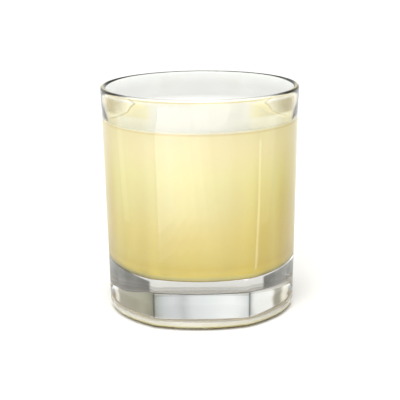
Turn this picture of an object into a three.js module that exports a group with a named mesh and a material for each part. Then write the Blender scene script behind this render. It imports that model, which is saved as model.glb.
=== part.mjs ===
// A small bar tumbler of cloudy aniseed drink: a clear glass with a thick base, six soft panels
// that fade out towards a round rim, and the drink that fills it to a finger below the rim.
// Millimetres, +Z up, the origin at the centre of the foot. A panel faces -Y.

import * as THREE from 'three';

// Outside of the tumbler
const HEIGHT = 83;
const RIM_RADIUS = 36;
const BASE_RADIUS = 33.9;
const HEEL_RADIUS = 3.2;

// Underside: a narrow flat ring to stand on, round a recess with a steep rounded edge
const FOOT_RING_WIDTH = 2;
const RECESS_DEPTH = 2.8;
const RECESS_EDGE = 1;

// Inside of the tumbler
const CAVITY_FLOOR = 17.2;
const CAVITY_FILLET = 4;
const WALL_AT_RIM = 1.8;
const WALL_AT_FLOOR = 3.6;

// Six panels: their strength runs from 0, round, to 1, a flat-sided hexagon, and between these
// heights it changes evenly
const PANELS = 6;
const PANEL_STRENGTHS = [
  { height: 0, strength: 0.2 },
  { height: 4, strength: 0.32 },
  { height: 9, strength: 0.5 },
  { height: 20, strength: 0.5 },
  { height: 45, strength: 0.32 },
  { height: 72, strength: 0.16 },
  { height: 79, strength: 0 },
];

// The drink
const DRINK_LEVEL = 70.8;
const MENISCUS_RISE = 0.8;
const MENISCUS_WIDTH = 2.2;
const CLEARANCE = 0.25;

// Smoothness: the creases between panels fall on lathe steps
const LATHE_STEPS = 72;
const HEEL_STEPS = 5;
const RECESS_STEPS = 3;
const LIP_STEPS = 6;
const FILLET_STEPS = 5;
const MENISCUS_STEPS = 4;

const glassMaterial = new THREE.MeshStandardMaterial({
  color: 0xeaf0ee,
  roughness: 0.04,
  metalness: 0,
  transparent: true,
  opacity: 0.35,
});
const drinkMaterial = new THREE.MeshStandardMaterial({ color: 0xf1e6a6, roughness: 0.25, metalness: 0 });

/** Even blend from a to b as t goes from 0 to 1. */
function mix(a, b, t) {
  return a + (b - a) * t;
}

/** Outer radius of the tapered wall at a height, at the creases between panels. */
function outerRadius(height) {
  return mix(BASE_RADIUS, RIM_RADIUS, (height - HEEL_RADIUS) / (HEIGHT - HEEL_RADIUS));
}

/** Radius of the round cavity at a height. */
function cavityRadius(height) {
  const thickness = mix(WALL_AT_FLOOR, WALL_AT_RIM, (height - CAVITY_FLOOR) / (HEIGHT - CAVITY_FLOOR));
  return outerRadius(height) - thickness;
}

/** Points of a profile on an arc, from one angle to another, in degrees up from outward. */
function arc(centreRadius, centreHeight, halfWidth, halfHeight, fromDegrees, toDegrees, steps) {
  return Array.from({ length: steps + 1 }, (_, i) => {
    const angle = THREE.MathUtils.degToRad(mix(fromDegrees, toDegrees, i / steps));
    return new THREE.Vector2(
      centreRadius + halfWidth * Math.cos(angle),
      centreHeight + halfHeight * Math.sin(angle),
    );
  });
}

/** Strength of the panels at a height. */
function panelStrength(height) {
  for (let i = 1; i < PANEL_STRENGTHS.length; i += 1) {
    const below = PANEL_STRENGTHS[i - 1];
    const above = PANEL_STRENGTHS[i];
    if (height <= above.height) {
      return mix(below.strength, above.strength, (height - below.height) / (above.height - below.height));
    }
  }
  return 0;
}

/** Factor on the radius that draws a panel in between its two creases. */
function panelFactor(angle, height) {
  const sector = (2 * Math.PI) / PANELS;
  const fromPanelCentre = THREE.MathUtils.euclideanModulo(angle, sector) - sector / 2;
  const flat = Math.cos(sector / 2) / Math.cos(fromPanelCentre);
  return mix(1, flat, panelStrength(height));
}

/** Turns a profile of radius and height round the Z axis into a closed solid. */
function latheUp(profile) {
  const geometry = new THREE.LatheGeometry(profile, LATHE_STEPS);
  geometry.rotateX(Math.PI / 2);
  return geometry;
}

/** Draws the panels into a lathe, in the first points of its profile, which are its outside. */
function drawInPanels(geometry, profileLength, outsideLength) {
  const position = geometry.attributes.position;
  for (let i = 0; i < position.count; i += 1) {
    if (i % profileLength < outsideLength) {
      const factor = panelFactor(Math.atan2(position.getY(i), position.getX(i)), position.getZ(i));
      position.setXY(i, position.getX(i) * factor, position.getY(i) * factor);
    }
  }
  geometry.computeVertexNormals();
}

/** The tumbler: recessed underside, foot ring, heel, panelled wall, rounded lip and cavity. */
function makeTumbler() {
  const heelCentre = BASE_RADIUS - HEEL_RADIUS;
  const recessRadius = heelCentre - FOOT_RING_WIDTH;
  const lipRadius = WALL_AT_RIM / 2;
  const lipHeight = HEIGHT - lipRadius;
  const filletTop = CAVITY_FLOOR + CAVITY_FILLET;
  const filletCentre = cavityRadius(filletTop) - CAVITY_FILLET;

  const underside = [
    new THREE.Vector2(0, RECESS_DEPTH),
    ...arc(recessRadius - RECESS_EDGE, 0, RECESS_EDGE, RECESS_DEPTH, 90, 0, RECESS_STEPS),
  ];
  const heel = arc(heelCentre, HEEL_RADIUS, HEEL_RADIUS, HEEL_RADIUS, -90, 0, HEEL_STEPS);
  const panelled = PANEL_STRENGTHS.slice(1).map(({ height }) => new THREE.Vector2(outerRadius(height), height));
  const outside = [...underside, ...heel, ...panelled];

  const lip = arc(outerRadius(lipHeight) - lipRadius, lipHeight, lipRadius, lipRadius, 0, 180, LIP_STEPS);
  const inside = [
    ...arc(filletCentre, filletTop, CAVITY_FILLET, CAVITY_FILLET, 0, -90, FILLET_STEPS),
    new THREE.Vector2(0, CAVITY_FLOOR),
  ];

  const profile = [...outside, ...lip, ...inside];
  const geometry = latheUp(profile);
  drawInPanels(geometry, profile.length, outside.length);
  return new THREE.Mesh(geometry, glassMaterial);
}

/** The drink: it follows the cavity, and its surface turns up in a small meniscus at the wall. */
function makeDrink() {
  const filletTop = CAVITY_FLOOR + CAVITY_FILLET;
  const filletCentre = cavityRadius(filletTop) - CAVITY_FILLET;
  const filletRadius = CAVITY_FILLET - CLEARANCE;
  const edgeRadius = cavityRadius(DRINK_LEVEL + MENISCUS_RISE) - CLEARANCE;

  const lowerEdge = arc(filletCentre, filletTop, filletRadius, filletRadius, -90, 0, FILLET_STEPS);
  const meniscus = Array.from({ length: MENISCUS_STEPS + 1 }, (_, i) => {
    const inward = i / MENISCUS_STEPS;
    const rise = MENISCUS_RISE * (1 - inward) ** 2;
    return new THREE.Vector2(edgeRadius - MENISCUS_WIDTH * inward, DRINK_LEVEL + rise);
  });

  const profile = [
    new THREE.Vector2(0, CAVITY_FLOOR + CLEARANCE),
    ...lowerEdge,
    ...meniscus,
    new THREE.Vector2(0, DRINK_LEVEL),
  ];
  return new THREE.Mesh(latheUp(profile), drinkMaterial);
}

const tumbler = makeTumbler();
tumbler.name = 'tumbler';

const drink = makeDrink();
drink.name = 'pastis';

const glassOfPastis = new THREE.Group();
glassOfPastis.name = 'glass_of_pastis';
glassOfPastis.add(tumbler, drink);

export default glassOfPastis;
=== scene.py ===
"""The looks of a glass of pastis: a clear panelled tumbler and the cloudy yellow drink that fills it.

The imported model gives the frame. A finer tumbler and a finer drink stand for its two nodes, and a
camera, a pale floor and soft lights show them as a photographer's table would. Metres, +Z up.
"""

from __future__ import annotations

import logging
import math
from collections.abc import Callable, Sequence
from dataclasses import dataclass, field
from enum import Enum
from typing import Any

import bmesh
import bpy
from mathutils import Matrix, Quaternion, Vector

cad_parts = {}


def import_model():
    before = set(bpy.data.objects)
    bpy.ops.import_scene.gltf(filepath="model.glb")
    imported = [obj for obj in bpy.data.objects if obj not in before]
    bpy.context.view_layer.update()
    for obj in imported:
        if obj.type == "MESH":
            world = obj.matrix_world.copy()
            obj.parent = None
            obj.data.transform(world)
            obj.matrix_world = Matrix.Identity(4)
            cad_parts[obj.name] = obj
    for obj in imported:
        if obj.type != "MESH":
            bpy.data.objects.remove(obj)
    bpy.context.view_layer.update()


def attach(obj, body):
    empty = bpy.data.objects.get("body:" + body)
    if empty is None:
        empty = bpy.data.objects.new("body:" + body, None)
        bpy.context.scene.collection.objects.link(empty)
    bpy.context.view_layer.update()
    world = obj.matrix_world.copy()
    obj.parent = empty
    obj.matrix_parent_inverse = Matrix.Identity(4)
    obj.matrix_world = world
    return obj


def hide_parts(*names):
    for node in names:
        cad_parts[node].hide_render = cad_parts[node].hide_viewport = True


LOG = logging.getLogger("glass_of_pastis")
MM = 0.001
FULL_TURN = 2 * math.pi
SHARP = math.radians(50)
SAME_SPOT = 0.001 * MM

Colour = tuple[float, float, float, float]
Scale = tuple[float, float, float]
Stops = tuple[tuple[float, int], ...]
Span = tuple[float, float]
Window = tuple[float, float, float]


def colour(code: int) -> Colour:
    """Turns a screen colour into the linear colour that a shader takes.

    Args:
        code: The colour as 0xRRGGBB.

    Returns:
        Red, green and blue in linear light, and an alpha of 1.
    """
    parts = [((code >> shift) & 0xFF) / 255 for shift in (16, 8, 0)]
    linear = [p / 12.92 if p <= 0.04045 else ((p + 0.055) / 1.055) ** 2.4 for p in parts]
    return (linear[0], linear[1], linear[2], 1.0)


def grey(value: float) -> Colour:
    """A grey of that linear brightness."""
    return (value, value, value, 1.0)


def placed(stops: Stops, share: float = 1.0, start: float = 0.0) -> list[tuple[float, Colour]]:
    """Places stops on a ramp from 0 to 1.

    Args:
        stops: Places in their own unit, and screen colours.
        share: How much of the ramp one unit takes.
        start: Where on the ramp the unit's zero lies.

    Returns:
        Places on the ramp, and linear colours.
    """
    return [(place * share + start, colour(code)) for place, code in stops]


class Number:
    """A number in a shader. Its operators add Math nodes."""

    def __init__(self, nodes: Nodes, socket: bpy.types.NodeSocket) -> None:
        """Wraps an output socket of a node."""
        self.nodes = nodes
        self.socket = socket

    def _math(self, operation: str, first: Number | float, second: Number | float) -> Number:
        """Adds a Math node.

        Args:
            operation: The Math node's operation.
            first: Its first value.
            second: Its second value.

        Returns:
            The node's result.
        """
        return self.nodes.number("ShaderNodeMath", {"operation": operation}, {0: first, 1: second})

    def __add__(self, other: Number | float) -> Number:
        """This plus the other."""
        return self._math("ADD", self, other)

    __radd__ = __add__

    def __mul__(self, other: Number | float) -> Number:
        """This times the other."""
        return self._math("MULTIPLY", self, other)

    __rmul__ = __mul__

    def __sub__(self, other: Number | float) -> Number:
        """This minus the other."""
        return self._math("SUBTRACT", self, other)

    def __rsub__(self, other: Number | float) -> Number:
        """The other minus this."""
        return self._math("SUBTRACT", other, self)


class Nodes:
    """The nodes of a material or of the room."""

    def __init__(self, tree: bpy.types.NodeTree) -> None:
        """Wraps a node tree."""
        self.tree = tree

    def node(self, kind: str, settings: dict[str, Any], values: dict[int | str, Any]) -> bpy.types.Node:
        """Adds a node.

        Args:
            kind: The node's type.
            settings: Its properties, set first; "stops" gives a ramp's positions and colours.
            values: A number, colour, socket or Number for each of its sockets.

        Returns:
            The node.
        """
        node = self.tree.nodes.new(kind)
        for name, value in settings.items():
            if name == "stops":
                ramp = node.color_ramp.elements
                while len(ramp) < len(value):
                    ramp.new(1.0)
                for element, (position, stop) in zip(ramp, value):
                    element.position, element.color = position, stop
            else:
                setattr(node, name, value)
        for name, value in values.items():
            self.feed(node.inputs[name], value)
        return node

    def number(self, kind: str, settings: dict[str, Any], values: dict[int | str, Any]) -> Number:
        """Adds a node and returns its first output as a Number."""
        return Number(self, self.node(kind, settings, values).outputs[0])

    def feed(self, socket: bpy.types.NodeSocket, value: Any) -> None:
        """Gives a socket its value or its link.

        Args:
            socket: The input to feed.
            value: A number, colour, socket or Number.
        """
        if isinstance(value, Number):
            value = value.socket
        if isinstance(value, bpy.types.NodeSocket):
            self.tree.links.new(value, socket)
        else:
            socket.default_value = value

    def parts(self, output: str) -> tuple[Number, Number, Number]:
        """Splits one of the Texture Coordinate node's outputs.

        Args:
            output: The output's name.

        Returns:
            Its X, Y and Z.
        """
        spot = self.node("ShaderNodeTexCoord", {}, {}).outputs[output]
        split = self.node("ShaderNodeSeparateXYZ", {}, {0: spot}).outputs
        return (Number(self, split[0]), Number(self, split[1]), Number(self, split[2]))

    def ramp(self, stops: Sequence[tuple[float, Colour]], at: Number) -> bpy.types.NodeSocket:
        """A colour that runs through stops from 0 to 1."""
        return self.node("ShaderNodeValToRGB", {"stops": stops}, {0: at}).outputs["Color"]

    def step(self, value: Number, low: float, high: float) -> Number:
        """Goes smoothly from 0 to 1 as a value goes from low to high."""
        settings = {"interpolation_type": "SMOOTHSTEP"}
        return self.number("ShaderNodeMapRange", settings, {"Value": value, 1: low, 2: high})

    def window(self, value: Number, low: float, high: float, soft: float) -> Number:
        """Is 1 where a value lies between low and high, with edges that go over soft to both sides."""
        return self.step(value, low - soft, low + soft) * (1 - self.step(value, high - soft, high + soft))

    def blend(self, mode: str, factor: Number | float, first: Any, second: Any) -> bpy.types.NodeSocket:
        """Blends two colours.

        Args:
            mode: The Mix node's way of blending, such as MIX or MULTIPLY.
            factor: How much of the second to use.
            first: The first colour.
            second: The second colour.

        Returns:
            The blended colour.
        """
        settings = {"data_type": "RGBA", "blend_type": mode}
        return self.node("ShaderNodeMix", settings, {0: factor, 6: first, 7: second}).outputs[2]


class Shader(Nodes):
    """The nodes of one material, round its Principled shader."""

    overlay_roughness: float = 0.7

    def __init__(self, name: str) -> None:
        """Makes a material.

        Args:
            name: The material's name.
        """
        self.material = bpy.data.materials.new(name)
        self.material.use_nodes = True
        super().__init__(self.material.node_tree)
        self.surface = self.tree.nodes["Principled BSDF"]
        self.outcome = self.surface.outputs[0]

    def dress(self, values: dict[str, Any]) -> None:
        """Feeds the Principled shader's sockets."""
        for name, value in values.items():
            self.feed(self.surface.inputs[name], value)

    def noise(self, scale: Scale, detail: float) -> Number:
        """Soft noise from 0 to 1.

        Args:
            scale: Blotches per metre along each axis.
            detail: Number of finer layers.

        Returns:
            The noise.
        """
        spot = self.node("ShaderNodeTexCoord", {}, {}).outputs["Object"]
        place = self.node("ShaderNodeMapping", {}, {"Vector": spot, "Scale": scale}).outputs[0]
        return self.number("ShaderNodeTexNoise", {}, {"Vector": place, "Scale": 1.0, "Detail": detail})

    def overlay(self, share: Number, dull: Any) -> None:
        """Blends a dull finish over what the material shows so far.

        Args:
            share: How much of it shows, from 0 to 1.
            dull: Its colour.
        """
        values = {"Base Color": dull, "Roughness": self.overlay_roughness, "Specular IOR Level": 0.0}
        finish = self.node("ShaderNodeBsdfPrincipled", {}, values).outputs[0]
        shaders = {0: share, 1: self.outcome, 2: finish}
        self.outcome = self.node("ShaderNodeMixShader", {}, shaders).outputs[0]
        self.feed(self.tree.nodes["Material Output"].inputs["Surface"], self.outcome)

    def bump(self, relief: Number, shading: float) -> bpy.types.NodeSocket:
        """A normal raised by a relief from 0 to 1 that stands depth metres proud."""
        values = {"Height": relief, "Distance": shading, "Strength": 1.0}
        return self.node("ShaderNodeBump", {}, values).outputs[0]


@dataclass(frozen=True)
class Spot:
    """A point of the glass: its place, a 1 where it lies on the front half, and its noises."""

    across: Number
    along: Number
    height: Number
    sideways: Number
    front: Number
    smears: Number
    draw: Number


@dataclass(frozen=True)
class ClearGlass:
    """Pressed soda-lime glass: polished, hardly tinted, with the faint vertical draw of its mould.

    A Span gives where a change begins and where it is complete. A Window gives where something
    starts, where it ends, and how far its edges reach to both sides. The lower reflection's stops lie at
    shares of the way from the middle to a side, and the upper reflection's from the left to the right.
    The tint also carries painted reflections on the front above the drink, painted shade on the wall
    above the drink, in the base and on the lip's back, and painted light on the lip's front and the foot.
    """

    name: str = "clear_glass"
    ior: float = 1.52
    polish: float = 0.004
    smear: float = 0.012
    smear_scale: Scale = (45.0, 45.0, 30.0)
    smear_detail: float = 2.0
    draw_scale: Scale = (160.0, 160.0, 9.0)
    draw_detail: float = 1.0
    draw_depth: float = 0.004 * MM
    half_width: float = 36.0 * MM

    # The wall: clear up to the drink's level, then greyed by painted shade, more at the back than at the
    # front
    height: float = 83.0 * MM
    wall_tint_and_shade_stops: Stops = (
        (0.0 * MM, 0xFDFEFE),
        (71.4 * MM, 0xFDFEFE),
        (74.0 * MM, 0xE1E1E0),
        (78.0 * MM, 0xE1E1E0),
        (83.0 * MM, 0xEEF1EE),
    )
    front_foot: int = 0xFDFEFE
    front_head: int = 0xFBFBFA
    front_rise: Span = (71.4 * MM, 74.0 * MM)
    back_half: Span = (-3.0 * MM, 3.0 * MM)

    # Painted reflections on the front above the drink: a lower row, an upper row with tan patches at the
    # sides, and a painted ring below the lip
    lower_reflection: Stops = (
        (0.440, 0xFFFFFF),
        (0.520, 0xFFFEF0),
        (0.740, 0xFFFDE8),
        (0.860, 0xF2E8B4),
        (0.970, 0xF2E8B4),
    )
    upper_reflection: Stops = (
        (0.010, 0xF1E8C8),
        (0.040, 0xCABA7A),
        (0.070, 0xCEBF80),
        (0.130, 0xF8F0C8),
        (0.240, 0xFFF9D6),
        (0.280, 0xFFFFFF),
        (0.720, 0xFFFFFF),
        (0.760, 0xFFF9D6),
        (0.845, 0xEAE2C0),
        (0.890, 0xD0C494),
        (0.926, 0xBEAE76),
        (0.955, 0xC8BA80),
        (0.990, 0xF1E8C8),
    )
    reflection_rows: Window = (71.2 * MM, 81.0 * MM, 1.0 * MM)
    upper_row: Window = (75.7 * MM, 81.0 * MM, 0.6 * MM)
    reflection_end: Span = (-15.0 * MM, -2.0 * MM)
    reflection_share: float = 0.8
    reflection_smears: float = 0.2
    # A painted refraction line: a tan ring below the lip on the front
    painted_ring: int = 0xF0E4B8
    painted_ring_row: Window = (81.6 * MM, 82.2 * MM, 0.2 * MM)

    # Painted shade on the base's sides, whose foot follows the painted shade line and whose head climbs
    # outwards
    shade: int = 0x30302C
    shade_foot: float = 11.7 * MM
    shade_head: float = 17.3 * MM
    shade_soft: float = 0.4 * MM
    shade_columns: Window = (18.2 * MM, 36.0 * MM, 0.6 * MM)
    shade_climb: float = 2.0 * MM
    right_half: Span = (-1.0 * MM, 1.0 * MM)
    right_inset: float = 3.7 * MM
    right_climb_loss: float = 0.5
    shade_share: float = 0.86
    shade_deeper: float = 0.08
    shade_deepens: Span = (12.5 * MM, 16.5 * MM)
    shade_draw: float = 0.12

    # A thin line of painted shade across the base, which lies higher in the middle and lower at the left
    shade_line: int = 0x2C2C28
    shade_line_row: Window = (11.45 * MM, 11.75 * MM, 0.1 * MM)
    shade_line_lift: float = 1.8 * MM
    shade_line_bend: Span = (15.0 * MM, 36.0 * MM)
    left_drop: float = 2.0 * MM
    left_bend: Span = (-30.0 * MM, -18.0 * MM)

    # Painted shade along the creases between the base's panels, and a strip of painted shade at the left one
    crease_shade: int = 0x70706A
    crease_angle: float = math.pi / 6
    crease_shade_edge: Span = (math.radians(0.3), math.radians(0.9))
    facet_foot: Span = (3.5 * MM, 4.5 * MM)
    facet_head: Span = (11.2 * MM, 12.2 * MM)
    strip_shade: int = 0xC2C2B0
    strip_shade_columns: Window = (-23.0 * MM, -15.0 * MM, 2.5 * MM)

    # The lip: painted shade on its crest at the back, and a painted highlight on the middle of its front
    back_lip_shade: int = 0x4A4C4A
    back_lip_shade_rise: Span = (82.7 * MM, 82.8 * MM)
    back_lip_shade_side: Span = (1.0 * MM, 11.0 * MM)
    painted_gleam: int = 0xF8F9FA
    painted_gleam_share: float = 0.35
    painted_gleam_rise: Span = (82.0 * MM, 82.3 * MM)
    painted_gleam_end: Span = (22.0 * MM, 31.0 * MM)

    # The foot: a pale dull overlay outside the recess, painted light where the floor's shade falls, with
    # painted dark olive shade at its edge and a faint painted shade line above it
    foot_light_and_shade_stops: Stops = (
        (0.00 * MM, 0x423C1C),
        (0.90 * MM, 0x423C1C),
        (1.30 * MM, 0xD8D498),
        (1.90 * MM, 0xF6F3DE),
        (3.20 * MM, 0xE8E7E0),
        (5.00 * MM, 0xD8D8D2),
    )
    foot_height: float = 5.0 * MM
    foot_radius: float = 29.0 * MM
    foot_radius_soft: float = 1.02
    foot_share: float = 0.5
    foot_head: Span = (3.0 * MM, 3.4 * MM)
    foot_shade_line_share: float = 0.25
    foot_shade_line_row: Window = (3.2 * MM, 4.6 * MM, 0.2 * MM)

    def material(self) -> bpy.types.Material:
        """Makes the material.

        Returns:
            The material.
        """
        shader = Shader(self.name)
        across, along, height = shader.parts("Object")
        spot = Spot(
            across,
            along,
            height,
            sideways=shader.number("ShaderNodeMath", {"operation": "ABSOLUTE"}, {0: across}),
            front=shader.number("ShaderNodeMath", {"operation": "LESS_THAN"}, {0: along, 1: 0.0}),
            smears=shader.noise(self.smear_scale, self.smear_detail),
            draw=shader.noise(self.draw_scale, self.draw_detail),
        )
        tint = self.tint_wall(shader, spot)
        tint = self.paint_reflections(shader, spot, tint)
        tint = self.tint_base(shader, spot, tint)
        tint = self.tint_back_lip(shader, spot, tint)
        self.cover_foot(shader, spot)
        self.cover_lip(shader, spot)
        shader.dress({
            "Base Color": tint,
            "Roughness": self.polish + self.smear * spot.smears,
            "Transmission Weight": 1.0,
            "IOR": self.ior,
            "Normal": shader.bump(spot.draw, self.draw_depth),
        })
        return shader.material

    def tint_wall(self, shader: Shader, spot: Spot) -> bpy.types.NodeSocket:
        """The glass's tint: near clear, with painted shade greying the wall above the drink.

        Args:
            shader: The material's nodes.
            spot: The point.

        Returns:
            The tint.
        """
        share = 1 / self.height
        # Painted shade: the wall above the drink is greyed, more at the back than at the front
        back = shader.ramp(placed(self.wall_tint_and_shade_stops, share), spot.height * share)
        rise = shader.step(spot.height, *self.front_rise)
        front = shader.blend("MIX", rise, colour(self.front_foot), colour(self.front_head))
        return shader.blend("MIX", shader.step(spot.along, *self.back_half), front, back)

    def paint_reflections(self, shader: Shader, spot: Spot, tint: Any) -> bpy.types.NodeSocket:
        """Adds painted reflections on the front of the wall above the drink, and a painted ring below the
        lip.

        Args:
            shader: The material's nodes.
            spot: The point.
            tint: The glass's tint so far.

        Returns:
            The tint with the painted reflections and the painted ring.
        """
        # Painted reflections: tan patches at the sides and pale rows above the drink, on the front only
        upper = shader.ramp(placed(self.upper_reflection), spot.across * (0.5 / self.half_width) + 0.5)
        lower = shader.ramp(placed(self.lower_reflection), spot.sideways * (1 / self.half_width))
        reflection = shader.blend("MIX", shader.window(spot.height, *self.upper_row), lower, upper)
        reflecting = (1 - shader.step(spot.along, *self.reflection_end)) * shader.window(spot.height, *self.reflection_rows)
        reflecting = reflecting * (self.reflection_share + self.reflection_smears * spot.smears)
        reflected = shader.blend("MULTIPLY", reflecting, tint, reflection)
        # Painted refraction: a tan ring below the lip, on the front only
        ringed = spot.front * shader.window(spot.height, *self.painted_ring_row)
        return shader.blend("MULTIPLY", ringed, reflected, colour(self.painted_ring))

    def tint_base(self, shader: Shader, spot: Spot, tint: Any) -> bpy.types.NodeSocket:
        """Adds painted shade to the base: on its sides, in a thin line, along its creases and in a strip at
        the left one.

        Args:
            shader: The material's nodes.
            spot: The point.
            tint: The glass's tint so far.

        Returns:
            The tint with the base's painted shade.
        """
        outwards = shader.step(spot.sideways, *self.shade_line_bend)
        right = shader.step(spot.across, *self.right_half)
        fall = spot.height - self.shade_line_lift * (1 - outwards)
        fall = fall + self.left_drop * (1 - shader.step(spot.across, *self.left_bend))
        climb = spot.height - self.shade_climb * (1 - self.right_climb_loss * right) * outwards

        # Painted shade: dark blocks on the base's sides, where shadowed floor shows through the glass
        above = shader.step(fall, self.shade_foot - self.shade_soft, self.shade_foot + self.shade_soft)
        over = shader.step(climb, self.shade_head - self.shade_soft, self.shade_head + self.shade_soft)
        side_shading = shader.window(spot.sideways - self.right_inset * right, *self.shade_columns)
        shading = self.shade_share + self.shade_deeper * shader.step(spot.height, *self.shade_deepens)
        shading = shading + self.shade_draw * spot.draw
        shaded = shader.blend("MULTIPLY", above * (1 - over) * side_shading * shading, tint, colour(self.shade))
        # A thin line of painted shade on the front of the base
        thin = spot.front * shader.window(fall, *self.shade_line_row)
        ruled = shader.blend("MULTIPLY", thin, shaded, colour(self.shade_line))

        # Painted shade: a dark line along each crease of the base's panels
        turn = shader.number("ShaderNodeMath", {"operation": "ARCTAN2"}, {0: spot.along, 1: spot.across})
        aside = shader.number("ShaderNodeMath", {"operation": "PINGPONG"}, {0: turn, 1: self.crease_angle})
        facet = shader.step(spot.height, *self.facet_foot) * (1 - shader.step(fall, *self.facet_head))
        creased = facet * (1 - shader.step(aside, *self.crease_shade_edge))
        lined = shader.blend("MULTIPLY", creased, ruled, colour(self.crease_shade))
        # Painted shade: a darker strip beside the left crease, on the front only
        strip_shade = spot.front * facet * shader.window(spot.across, *self.strip_shade_columns)
        return shader.blend("MULTIPLY", strip_shade, lined, colour(self.strip_shade))

    def tint_back_lip(self, shader: Shader, spot: Spot, tint: Any) -> bpy.types.NodeSocket:
        """Paints shade on the crest of the lip at the back.

        Args:
            shader: The material's nodes.
            spot: The point.
            tint: The glass's tint so far.

        Returns:
            The tint with the painted shade on the crest.
        """
        # Painted shade on the crest of the lip at the back
        side = shader.step(spot.along, *self.back_lip_shade_side)
        crest = shader.step(spot.height, *self.back_lip_shade_rise)
        return shader.blend("MULTIPLY", side * crest, tint, colour(self.back_lip_shade))

    def cover_foot(self, shader: Shader, spot: Spot) -> None:
        """Lays painted light on the foot outside the recess as a pale dull overlay, with painted shade at
        its edge and in a faint line above.

        Args:
            shader: The material's nodes.
            spot: The point.
        """
        share = 1 / self.foot_height
        # Painted light and shade: a pale band, a dark olive edge and a faint line above it
        foot = shader.ramp(placed(self.foot_light_and_shade_stops, share), spot.height * share)
        out = spot.across * spot.across + spot.along * spot.along
        overlay_share = self.foot_share * (1 - shader.step(spot.height, *self.foot_head))
        overlay_share = overlay_share + self.foot_shade_line_share * shader.window(spot.height, *self.foot_shade_line_row)
        outside = shader.step(out, self.foot_radius**2, self.foot_radius_soft * self.foot_radius**2)
        shader.overlay(overlay_share * outside, foot)

    def cover_lip(self, shader: Shader, spot: Spot) -> None:
        """Puts a painted highlight, a pale dull overlay, on the front of the lip.

        Args:
            shader: The material's nodes.
            spot: The point.
        """
        # Painted highlight: a pale dull overlay on the middle of the lip's front
        lip = spot.front * shader.step(spot.height, *self.painted_gleam_rise)
        middle = 1 - shader.step(spot.sideways, *self.painted_gleam_end)
        shader.overlay(self.painted_gleam_share * lip * middle, colour(self.painted_gleam))


@dataclass(frozen=True)
class CloudyDrink:
    """Aniseed drink clouded by water, as it shows through the side of the glass.

    The stops lie at shares of its height and paint it lighter towards the top, with painted dark and bright
    lines at its bottom edge and just under the meniscus.
    The side shading lies at shares of its width from left to right and paints light and shade across it.
    """

    name: str = "cloudy_drink"
    bottom: float = 17.2 * MM
    top: float = 71.6 * MM
    # The drink's yellow, with painted light and shade by height: lighter at the top, painted lines at both
    # ends
    stops: Stops = (
        (0.000, 0xD0AC50),
        (0.006, 0xD0AC50),
        (0.010, 0xFFF4A8),
        (0.028, 0xFFF4A8),
        (0.038, 0xFFEF95),
        (0.051, 0xF7E37C),
        (0.066, 0xEEDC84),
        (0.092, 0xE9D67C),
        (0.140, 0xEADB8C),
        (0.290, 0xEFE19B),
        (0.500, 0xF4ECB7),
        (0.700, 0xFBF6C6),
        (0.850, 0xFFF7D0),
        (0.970, 0xFFF7D0),
        (0.982, 0xF4E6B0),
        (0.990, 0xFFFDF2),
        (1.000, 0xFFFDF2),
    )
    width: float = 72.0 * MM
    # Painted light and shade across the width: paler near the middle, deeper yellow towards the sides
    side_shading: Stops = (
        (0.030, 0xF4E8A8),
        (0.070, 0xF7EEAE),
        (0.100, 0xFFFFE2),
        (0.140, 0xFFFFE8),
        (0.180, 0xFFFFF4),
        (0.230, 0xF9F8EE),
        (0.320, 0xF9F9F9),
        (0.400, 0xFFFFFF),
        (0.620, 0xFFFFFF),
        (0.700, 0xFFFCEC),
        (0.740, 0xFDFADE),
        (0.785, 0xFCF6CA),
        (0.850, 0xFFFCD6),
        (0.886, 0xF6EE9C),
        (0.922, 0xF4E98A),
    )
    side_shading_loss: float = 0.62
    side_shading_fade: Span = (0.45, 0.95)
    streak: int = 0xF3E6B8
    streak_share: float = 0.35
    streak_scale: Scale = (170.0, 170.0, 5.0)
    streak_detail: float = 1.0
    cloud: int = 0xD8C070
    cloud_share: float = 0.06
    cloud_scale: Scale = (40.0, 40.0, 22.0)
    cloud_detail: float = 3.0
    roughness: float = 0.5
    roughness_clouds: float = 0.2
    gloss: float = 0.0

    def material(self) -> bpy.types.Material:
        """Makes the material.

        Returns:
            The material.
        """
        shader = Shader(self.name)
        across, _, height = shader.parts("Object")
        clouds = shader.noise(self.cloud_scale, self.cloud_detail)
        streaks = shader.noise(self.streak_scale, self.streak_detail)
        rise = (height - self.bottom) * (1 / (self.top - self.bottom))
        # Painted light and shade by height over the drink's yellow
        shading = shader.ramp(placed(self.stops), rise)
        # Painted light and shade across the drink's width, fading towards the top
        side = shader.ramp(placed(self.side_shading), across * (1 / self.width) + 0.5)
        sideways = 1.0 - self.side_shading_loss * shader.step(rise, *self.side_shading_fade)
        sided = shader.blend("MULTIPLY", sideways, shading, side)
        streaked = shader.blend("MULTIPLY", self.streak_share * streaks, sided, colour(self.streak))
        shader.dress({
            "Base Color": shader.blend("MULTIPLY", self.cloud_share * clouds, streaked, colour(self.cloud)),
            "Roughness": self.roughness + self.roughness_clouds * clouds,
            "Specular IOR Level": self.gloss,
        })
        return shader.material


@dataclass(frozen=True)
class DrinkSurface:
    """The still, glossy top of the drink."""

    name: str = "drink_surface"
    cream: int = 0xE8E5D2
    cloud: int = 0xD8CC98
    cloud_share: float = 0.08
    cloud_scale: Scale = (60.0, 60.0, 60.0)
    cloud_detail: float = 2.0
    ripple_scale: Scale = (90.0, 90.0, 90.0)
    ripple_detail: float = 1.0
    ripple_depth: float = 0.02 * MM
    roughness: float = 0.04
    ior: float = 1.34

    def material(self) -> bpy.types.Material:
        """Makes the material.

        Returns:
            The material.
        """
        shader = Shader(self.name)
        clouds = shader.noise(self.cloud_scale, self.cloud_detail)
        ripples = shader.noise(self.ripple_scale, self.ripple_detail)
        cloudy = self.cloud_share * clouds
        shader.dress({
            "Base Color": shader.blend("MULTIPLY", cloudy, colour(self.cream), colour(self.cloud)),
            "Roughness": self.roughness + self.roughness * clouds,
            "IOR": self.ior,
            "Normal": shader.bump(ripples, self.ripple_depth),
        })
        return shader.material


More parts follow.
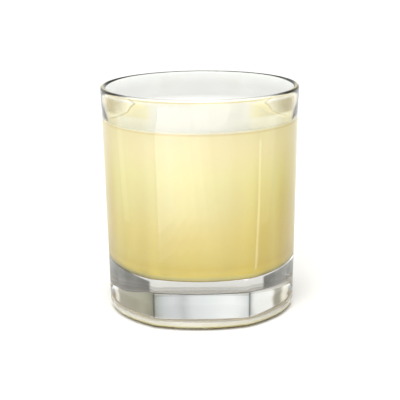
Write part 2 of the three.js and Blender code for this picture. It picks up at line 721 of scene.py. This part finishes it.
@dataclass(frozen=True)
class StudioPaper:
    """The pale matt paper that the glass stands on."""

    name: str = "studio_paper"
    pale: int = 0xF4F4F3
    fibre: int = 0xE6E6E4
    fibre_share: float = 0.04
    fibre_scale: Scale = (400.0, 400.0, 400.0)
    fibre_detail: float = 2.0
    roughness: float = 0.8
    gloss: float = 0.1

    def material(self) -> bpy.types.Material:
        """Makes the material.

        Returns:
            The material.
        """
        shader = Shader(self.name)
        fibres = self.fibre_share * shader.noise(self.fibre_scale, self.fibre_detail)
        shader.dress({
            "Base Color": shader.blend("MULTIPLY", fibres, colour(self.pale), colour(self.fibre)),
            "Roughness": self.roughness,
            "Specular IOR Level": self.gloss,
        })
        return shader.material


@dataclass(frozen=True)
class Corner:
    """A corner of a turned profile: its radius, its height, and how far its rounding reaches."""

    radius: float
    height: float
    rounding: float = 0.0
    steps: int = 1


class Skin(Enum):
    """Which skin of the tumbler a point belongs to."""

    OUTSIDE = "outside"
    INSIDE = "inside"


@dataclass
class Turning:
    """A solid made by turning a profile of corners round the Z axis."""

    corners: Sequence[Corner]
    steps: int
    longest_edge: float

    def build(self) -> bmesh.types.BMesh:
        """Rounds the corners of the profile, divides its long edges and spins it.

        Returns:
            The closed solid, with its doubles merged and its faces pointing outwards.
        """
        mesh = bmesh.new()
        points = [mesh.verts.new((corner.radius, 0, corner.height)) for corner in self.corners]
        for start, end in zip(points, points[1:]):
            mesh.edges.new((start, end))
        for corner, point in zip(self.corners, points):
            if corner.rounding:
                bmesh.ops.bevel(
                    mesh, geom=[point], offset=corner.rounding, offset_type="OFFSET", segments=corner.steps,
                    profile=0.5, affect="VERTICES", material=-1,
                )
        for edge in list(mesh.edges):
            cuts = math.ceil(edge.calc_length() / self.longest_edge) - 1
            if cuts > 0:
                bmesh.ops.subdivide_edges(mesh, edges=[edge], cuts=cuts)
        bmesh.ops.spin(
            mesh, geom=mesh.verts[:] + mesh.edges[:], axis=(0, 0, 1), cent=(0, 0, 0), angle=FULL_TURN,
            steps=self.steps, use_merge=True,
        )
        bmesh.ops.remove_doubles(mesh, verts=mesh.verts[:], dist=SAME_SPOT)
        bmesh.ops.recalc_face_normals(mesh, faces=mesh.faces[:])
        return mesh


def finished(mesh: bmesh.types.BMesh, name: str, finishes: Sequence[bpy.types.Material]) -> bpy.types.Object:
    """Puts a finished mesh into the scene as a smooth piece.

    Args:
        mesh: The mesh, which is freed.
        name: The piece's name.
        finishes: Its materials, in the order of its faces' material indices.

    Returns:
        The piece.
    """
    for face in mesh.faces:
        face.smooth = True
    for edge in mesh.edges:
        edge.smooth = edge.calc_face_angle(0.0) < SHARP
    data = bpy.data.meshes.new(name)
    mesh.to_mesh(data)
    mesh.free()
    for finish in finishes:
        data.materials.append(finish)
    piece = bpy.data.objects.new(name, data)
    bpy.context.scene.collection.objects.link(piece)
    return piece


@dataclass
class Tumbler:
    """The glass: recessed underside, foot ring, heel, panelled wall, rounded lip and round cavity.

    Each panel strength belongs to a height and runs from 0, round, to 1, a flat-sided hexagon. The
    softness of a crease is in degrees.
    """

    height: float = 83 * MM
    rim_radius: float = 36 * MM
    base_radius: float = 33.9 * MM
    heel_radius: float = 3.2 * MM
    heel_steps: int = 14
    foot_ring_width: float = 2 * MM
    foot_ring_edge: float = 0.12 * MM
    foot_ring_steps: int = 2
    recess_depth: float = 2.8 * MM
    recess_slope: float = 0.2 * MM
    recess_edge: float = 1.0 * MM
    recess_steps: int = 8
    cavity_floor: float = 17.2 * MM
    cavity_fillet: float = 4 * MM
    fillet_steps: int = 14
    wall_at_rim: float = 1.8 * MM
    wall_at_floor: float = 3.6 * MM
    lip_share: float = 0.49
    lip_steps: int = 9
    panels: int = 6
    panel_strengths: tuple[tuple[float, float], ...] = (
        (0 * MM, 0.2),
        (4 * MM, 0.32),
        (9 * MM, 0.5),
        (20 * MM, 0.5),
        (45 * MM, 0.32),
        (72 * MM, 0.16),
        (79 * MM, 0.0),
    )
    crease_softness: float = 0.8
    crease_samples: int = 3
    steps: int = 240
    longest_edge: float = 1.5 * MM
    finish: ClearGlass = field(default_factory=ClearGlass)

    def outer_radius(self, height: float) -> float:
        """Outer radius of the tapered wall at a height, at the creases between panels."""
        share = (height - self.heel_radius) / (self.height - self.heel_radius)
        return self.base_radius + (self.rim_radius - self.base_radius) * share

    def cavity_radius(self, height: float) -> float:
        """Radius of the round cavity at a height.

        Args:
            height: The height above the foot.

        Returns:
            The radius.
        """
        share = (height - self.cavity_floor) / (self.height - self.cavity_floor)
        thickening = (self.wall_at_rim - self.wall_at_floor) * share
        return self.outer_radius(height) - self.wall_at_floor - thickening

    def panel_strength(self, height: float) -> float:
        """Strength of the panels at a height.

        Args:
            height: The height above the foot.

        Returns:
            The strength, from 0 to 1.
        """
        for (low, below), (high, above) in zip(self.panel_strengths, self.panel_strengths[1:]):
            if height <= high:
                return below + (above - below) * (max(height, low) - low) / (high - low)
        return 0.0

    def panel_factor(self, angle: float, height: float) -> float:
        """Factor on the radius that draws a panel in between its two softened creases.

        Args:
            angle: The angle round the axis, in radians from +X.
            height: The height above the foot.

        Returns:
            The factor, at most 1.
        """
        sector = FULL_TURN / self.panels
        total = weight = 0.0
        for sample in range(-2 * self.crease_samples, 2 * self.crease_samples + 1):
            aside = sample / self.crease_samples
            share = math.exp(-(aside**2))
            turned = (angle + math.radians(self.crease_softness) * aside) % sector - sector / 2
            total += share * math.cos(sector / 2) / math.cos(turned)
            weight += share
        return 1 - self.panel_strength(height) * (1 - total / weight)

    def skin(self, point: Vector) -> Skin:
        """Tells whether a point lies on the outside or in the cavity.

        Args:
            point: The point.

        Returns:
            The skin it belongs to.
        """
        if point.z < self.cavity_floor / 2:
            return Skin.OUTSIDE
        middle = (self.outer_radius(point.z) + self.cavity_radius(point.z)) / 2
        return Skin.OUTSIDE if math.hypot(point.x, point.y) > middle else Skin.INSIDE

    def build(self) -> bpy.types.Object:
        """Turns the glass, draws its panels in and dresses it.

        Returns:
            The piece.
        """
        ring_outside = self.base_radius - self.heel_radius
        ring_inside = ring_outside - self.foot_ring_width
        lip = self.lip_share * self.wall_at_rim
        floor_radius = self.cavity_radius(self.cavity_floor)
        corners = [
            Corner(0, self.recess_depth),
            Corner(ring_inside - self.recess_slope, self.recess_depth, self.recess_edge, self.recess_steps),
            Corner(ring_inside, 0, self.foot_ring_edge, self.foot_ring_steps),
            Corner(self.outer_radius(0), 0, self.heel_radius, self.heel_steps),
            Corner(self.rim_radius, self.height, lip, self.lip_steps),
            Corner(self.rim_radius - self.wall_at_rim, self.height, lip, self.lip_steps),
            Corner(floor_radius, self.cavity_floor, self.cavity_fillet, self.fillet_steps),
            Corner(0, self.cavity_floor),
        ]
        mesh = Turning(corners, self.steps, self.longest_edge).build()
        for point in mesh.verts:
            if self.skin(point.co) is Skin.OUTSIDE:
                factor = self.panel_factor(math.atan2(point.co.y, point.co.x), point.co.z)
                point.co.x *= factor
                point.co.y *= factor
        return finished(mesh, "tumbler_glass", [self.finish.material()])


@dataclass
class Drink:
    """The pastis: it reaches just into the wall, and its surface turns up in a meniscus."""

    tumbler: Tumbler
    level: float = 70.8 * MM
    into_wall: float = 0.12 * MM
    meniscus_rise: float = 0.8 * MM
    meniscus_width: float = 2.2 * MM
    meniscus_steps: int = 4
    shoulder_inset: float = 0.25 * MM
    shoulder_share: float = 0.35
    shoulder_rounding: float = 0.3 * MM
    level_rounding: float = 0.8 * MM
    surface_margin: float = 0.01 * MM
    surface_slope: float = 0.2
    steps: int = 192
    longest_edge: float = 2.0 * MM
    body: CloudyDrink = field(default_factory=CloudyDrink)
    surface: DrinkSurface = field(default_factory=DrinkSurface)

    def build(self) -> bpy.types.Object:
        """Turns the drink and dresses its body and its surface.

        Returns:
            The piece.
        """
        glass = self.tumbler
        bottom = glass.cavity_floor - self.into_wall
        side = glass.cavity_radius(bottom) + self.into_wall
        edge_height = self.level + self.meniscus_rise
        edge = glass.cavity_radius(edge_height) + self.into_wall
        shoulder = edge - self.into_wall - self.shoulder_inset
        shoulder_height = self.level + self.shoulder_share * self.meniscus_rise
        inner = edge - self.into_wall - self.meniscus_width
        corners = [
            Corner(0, bottom),
            Corner(side, bottom, glass.cavity_fillet, glass.fillet_steps),
            Corner(edge, edge_height),
            Corner(shoulder, shoulder_height, self.shoulder_rounding, self.meniscus_steps),
            Corner(inner, self.level, self.level_rounding, self.meniscus_steps),
            Corner(0, self.level),
        ]
        mesh = Turning(corners, self.steps, self.longest_edge).build()
        lowest = self.level - self.surface_margin
        for face in mesh.faces:
            on_top = face.calc_center_median().z > lowest and face.normal.z > self.surface_slope
            face.material_index = int(on_top)
        return finished(mesh, "pastis_drink", [self.body.material(), self.surface.material()])


@dataclass(frozen=True)
class SoftBox:
    """A rectangular studio light that points at a spot."""

    name: str
    place: tuple[float, float, float]
    size: tuple[float, float]
    power: float
    target: tuple[float, float, float] = (0.0, 0.0, 40.0 * MM)
    only_reflects: bool = False
    lean: float = 0.0

    def build(self) -> None:
        """Hangs the light and aims it."""
        light = bpy.data.lights.new(self.name, "AREA")
        light.shape = "RECTANGLE"
        light.size, light.size_y = self.size
        light.energy = self.power
        lamp = bpy.data.objects.new(self.name, light)
        lamp.location = self.place
        lamp.rotation_mode = "QUATERNION"
        if self.only_reflects:
            lamp.visible_camera = lamp.visible_diffuse = lamp.visible_transmission = False
        aim = (Vector(self.target) - Vector(self.place)).to_track_quat("-Z", "Y")
        lamp.rotation_quaternion = aim @ Quaternion((0, 0, 1), math.radians(self.lean))
        bpy.context.scene.collection.objects.link(lamp)


@dataclass(frozen=True)
class Cards:
    """Upright cards side by side on a circle round the glass, which only the gloss shows.

    The start is the bearing of the first card's left edge, in degrees from the camera's side towards
    +X. The widths are in degrees of the circle, and the tops lean to the left by lean degrees.
    """

    name: str
    start: float
    widths: tuple[float, ...]
    levels: tuple[float, ...]
    foot: float
    head: float
    reach: float = 0.14
    lean: float = 0.0

    def build(self) -> None:
        """Hangs the cards."""
        middle = (self.foot + self.head) / 2
        slant = math.cos(math.radians(self.lean))
        for number, (width, level) in enumerate(zip(self.widths, self.levels)):
            bearing = math.radians(self.start + sum(self.widths[:number]) + width / 2)
            place = (self.reach * math.sin(bearing), -self.reach * math.cos(bearing), middle)
            breadth = 2 * self.reach * math.tan(math.radians(width / 2)) * slant
            size = (breadth, (self.head - self.foot) / slant)
            power = math.pi * size[0] * size[1] * level
            SoftBox(f"{self.name}_{number}", place, size, power, (0.0, 0.0, middle), True, self.lean).build()


@dataclass(frozen=True)
class FarLight:
    """A soft light so far off that it lights the whole table evenly.

    Its bearing is in degrees from the camera's side towards +X; its spread is its width in the sky.
    """

    name: str
    bearing: float
    elevation: float
    spread: float
    brightness: float

    def build(self) -> None:
        """Hangs the light and aims it."""
        light = bpy.data.lights.new(self.name, "SUN")
        light.angle = math.radians(self.spread)
        light.energy = self.brightness * math.pi
        lamp = bpy.data.objects.new(self.name, light)
        around, up = math.radians(self.bearing), math.radians(self.elevation)
        place = Vector((math.cos(up) * math.sin(around), -math.cos(up) * math.cos(around), math.sin(up)))
        lamp.location = place
        lamp.rotation_mode = "QUATERNION"
        lamp.rotation_quaternion = (-place).to_track_quat("-Z", "Y")
        bpy.context.scene.collection.objects.link(lamp)


@dataclass(frozen=True)
class Room:
    """The room round the table: pale at the horizon, bright windows and darker walls above it, and a dome.

    Directions are in degrees from straight behind the glass towards +X, and elevations in degrees.
    """

    windows: Stops = (
        (-150, 0xF3F3F0), (-120, 0x9C9A90), (-92, 0xA09C8C), (-84, 0xF3F0E2), (-56, 0xF1EBD6),
        (-50, 0x8E8A76), (-43, 0x94907A), (-40, 0xF6F5EF), (-28, 0xEEEFEA), (-25, 0xBCBEBB),
        (-19, 0xB6B9B7), (-15, 0xD3D6D6), (-13, 0xDDDFDE), (-11, 0xEFF1EE), (-8, 0xF5F6F4),
        (-3, 0xE8EBE9), (3, 0xDADDDC), (5.5, 0xBCBFBF), (8, 0xD0D3D2), (12, 0xC2C6C5),
        (18, 0xA0A29B), (24, 0x8E8C7D), (31, 0xBAB7A4), (37, 0x9C9882), (57, 0x98947E),
        (62, 0xF3EEDD), (82, 0xF0EDE0), (90, 0x9C9A90), (120, 0xA3A19A), (150, 0xF0F0EE),
    )
    dome: Stops = ((-105, 0xFFFFFF), (-60, 0xA2A2A0), (60, 0xA2A2A0), (105, 0xFFFFFF))
    dome_level: float = 1.12
    horizon: float = 0.95
    window_rise: Span = (5.0, 9.0)
    dome_rise: Span = (24.0, 32.0)

    def build(self) -> None:
        """Makes the room's light the scene's."""
        world = bpy.data.worlds.new("room")
        world.use_nodes = True
        nodes = Nodes(world.node_tree)
        across, along, up = nodes.parts("Generated")
        bearing = nodes.number("ShaderNodeMath", {"operation": "ARCTAN2"}, {0: across, 1: along})
        around = bearing * (1 / FULL_TURN) + 0.5
        wall, dome = (nodes.ramp(placed(seen, 1 / 360, 0.5), around) for seen in (self.windows, self.dome))
        dome = nodes.blend("MULTIPLY", 1.0, dome, grey(self.dome_level))
        over_horizon, over_windows = (
            nodes.step(up, *(math.sin(math.radians(elevation)) for elevation in rise))
            for rise in (self.window_rise, self.dome_rise)
        )
        lower = nodes.blend("MIX", over_horizon, grey(self.horizon), wall)
        light = nodes.blend("MIX", over_windows, lower, dome)
        background = world.node_tree.nodes["Background"]
        nodes.feed(background.inputs["Color"], light)
        nodes.feed(background.inputs["Strength"], 1.0)
        bpy.context.scene.world = world


@dataclass
class Studio:
    """The pale floor, the soft lights and the room."""

    floor_half_width: float = 3.0
    floor_drop: float = 0.1 * MM
    near: float = 80.0 * MM
    left_lean: float = 14.7
    left_widths: tuple[float, ...] = (11.6, 8.0, 8.0, 8.0, 8.0)
    left_levels: tuple[float, ...] = (2.05, 1.85, 1.45, 0.9, 0.35)
    left_low_levels: tuple[float, ...] = (1.1, 1.0, 0.8, 0.5, 0.2)
    left_foot_levels: tuple[float, ...] = (0.55, 0.5, 0.4, 0.25, 0.1)
    right_lean: float = 16.0
    paper: StudioPaper = field(default_factory=StudioPaper)
    room: Room = field(default_factory=Room)

    def lights(self) -> tuple[SoftBox | FarLight | Cards, ...]:
        """Names the studio's lights, the main ones first and then the cards.

        Returns:
            The lights.
        """
        return (
            FarLight("top_light", bearing=0.0, elevation=85.0, spread=40.0, brightness=0.35),
            SoftBox("key_light", place=(-0.25, -1.07, 0.88), size=(0.9, 0.9), power=13.0),
            Cards(
                "left_card", start=-34.6, widths=self.left_widths, levels=self.left_levels,
                foot=22 * MM, head=70 * MM, reach=self.near, lean=self.left_lean,
            ),
            Cards(
                "left_low", start=-29.53, widths=self.left_widths, levels=self.left_low_levels,
                foot=16 * MM, head=22 * MM, reach=self.near, lean=self.left_lean,
            ),
            Cards(
                "left_foot", start=-28.4, widths=self.left_widths, levels=self.left_foot_levels,
                foot=10 * MM, head=16 * MM, reach=self.near, lean=self.left_lean,
            ),
            Cards("left_streak", start=-106.0, widths=(8.0,), levels=(0.45,), foot=0.0, head=50 * MM),
            Cards(
                "right_streak", start=69.6, widths=(2.2,), levels=(2.0,),
                foot=2 * MM, head=55 * MM, reach=self.near, lean=self.right_lean,
            ),
            Cards("right_glow", start=79.0, widths=(14.0,), levels=(0.3,), foot=0.0, head=44 * MM),
        )

    def build(self) -> None:
        """Lays the floor, hangs the lights and sets the room's light."""
        mesh = bmesh.new()
        bmesh.ops.create_grid(mesh, x_segments=1, y_segments=1, size=self.floor_half_width)
        bmesh.ops.translate(mesh, verts=mesh.verts[:], vec=(0, 0, -self.floor_drop))
        finished(mesh, "floor", [self.paper.material()])
        for light in self.lights():
            light.build()
        self.room.build()
        bpy.context.scene.view_settings.view_transform = "Standard"


@dataclass(frozen=True)
class PhotoCamera:
    """The photograph's viewpoint, fitted to the outline and the rim of the glass."""

    aim_height: float = 41.5 * MM
    distance: float = 0.560
    elevation: float = 12.93
    roll: float = -0.56
    focal_px: float = 1523.0
    centre_px: tuple[float, float] = (200.69, 196.22)
    frame_px: float = 400.0
    sensor: float = 36.0

    def build(self) -> None:
        """Sets the camera up and makes it the scene's."""
        data = bpy.data.cameras.new("photo_camera")
        data.sensor_width = self.sensor
        data.lens = self.focal_px * self.sensor / self.frame_px
        data.shift_x = -(self.centre_px[0] - self.frame_px / 2) / self.frame_px
        data.shift_y = (self.centre_px[1] - self.frame_px / 2) / self.frame_px
        camera = bpy.data.objects.new("photo_camera", data)
        target = Vector((0, 0, self.aim_height))
        tilt = math.radians(self.elevation)
        camera.location = target + self.distance * Vector((0, -math.cos(tilt), math.sin(tilt)))
        camera.rotation_mode = "QUATERNION"
        aim = (target - camera.location).to_track_quat("-Z", "Y")
        camera.rotation_quaternion = aim @ Quaternion((0, 0, 1), math.radians(self.roll))
        bpy.context.scene.collection.objects.link(camera)
        bpy.context.scene.camera = camera


def main() -> None:
    """Builds the scene, puts each piece under the root body and hides the imported node it stands for."""
    logging.basicConfig(level=logging.INFO, format="%(message)s")
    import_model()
    PhotoCamera().build()
    Studio().build()
    tumbler = Tumbler()
    parts: list[tuple[Callable[[], bpy.types.Object], str, str]] = [
        (tumbler.build, "tumbler", "glass"),
        (Drink(tumbler).build, "pastis", "drink"),
    ]
    for build, node, slot in parts:
        piece = build()
        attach(piece, "root")
        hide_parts(node)
        LOG.info("%s stands for %s with %d faces", piece.name, node, len(piece.data.polygons))


if __name__ == "__main__":
    main()
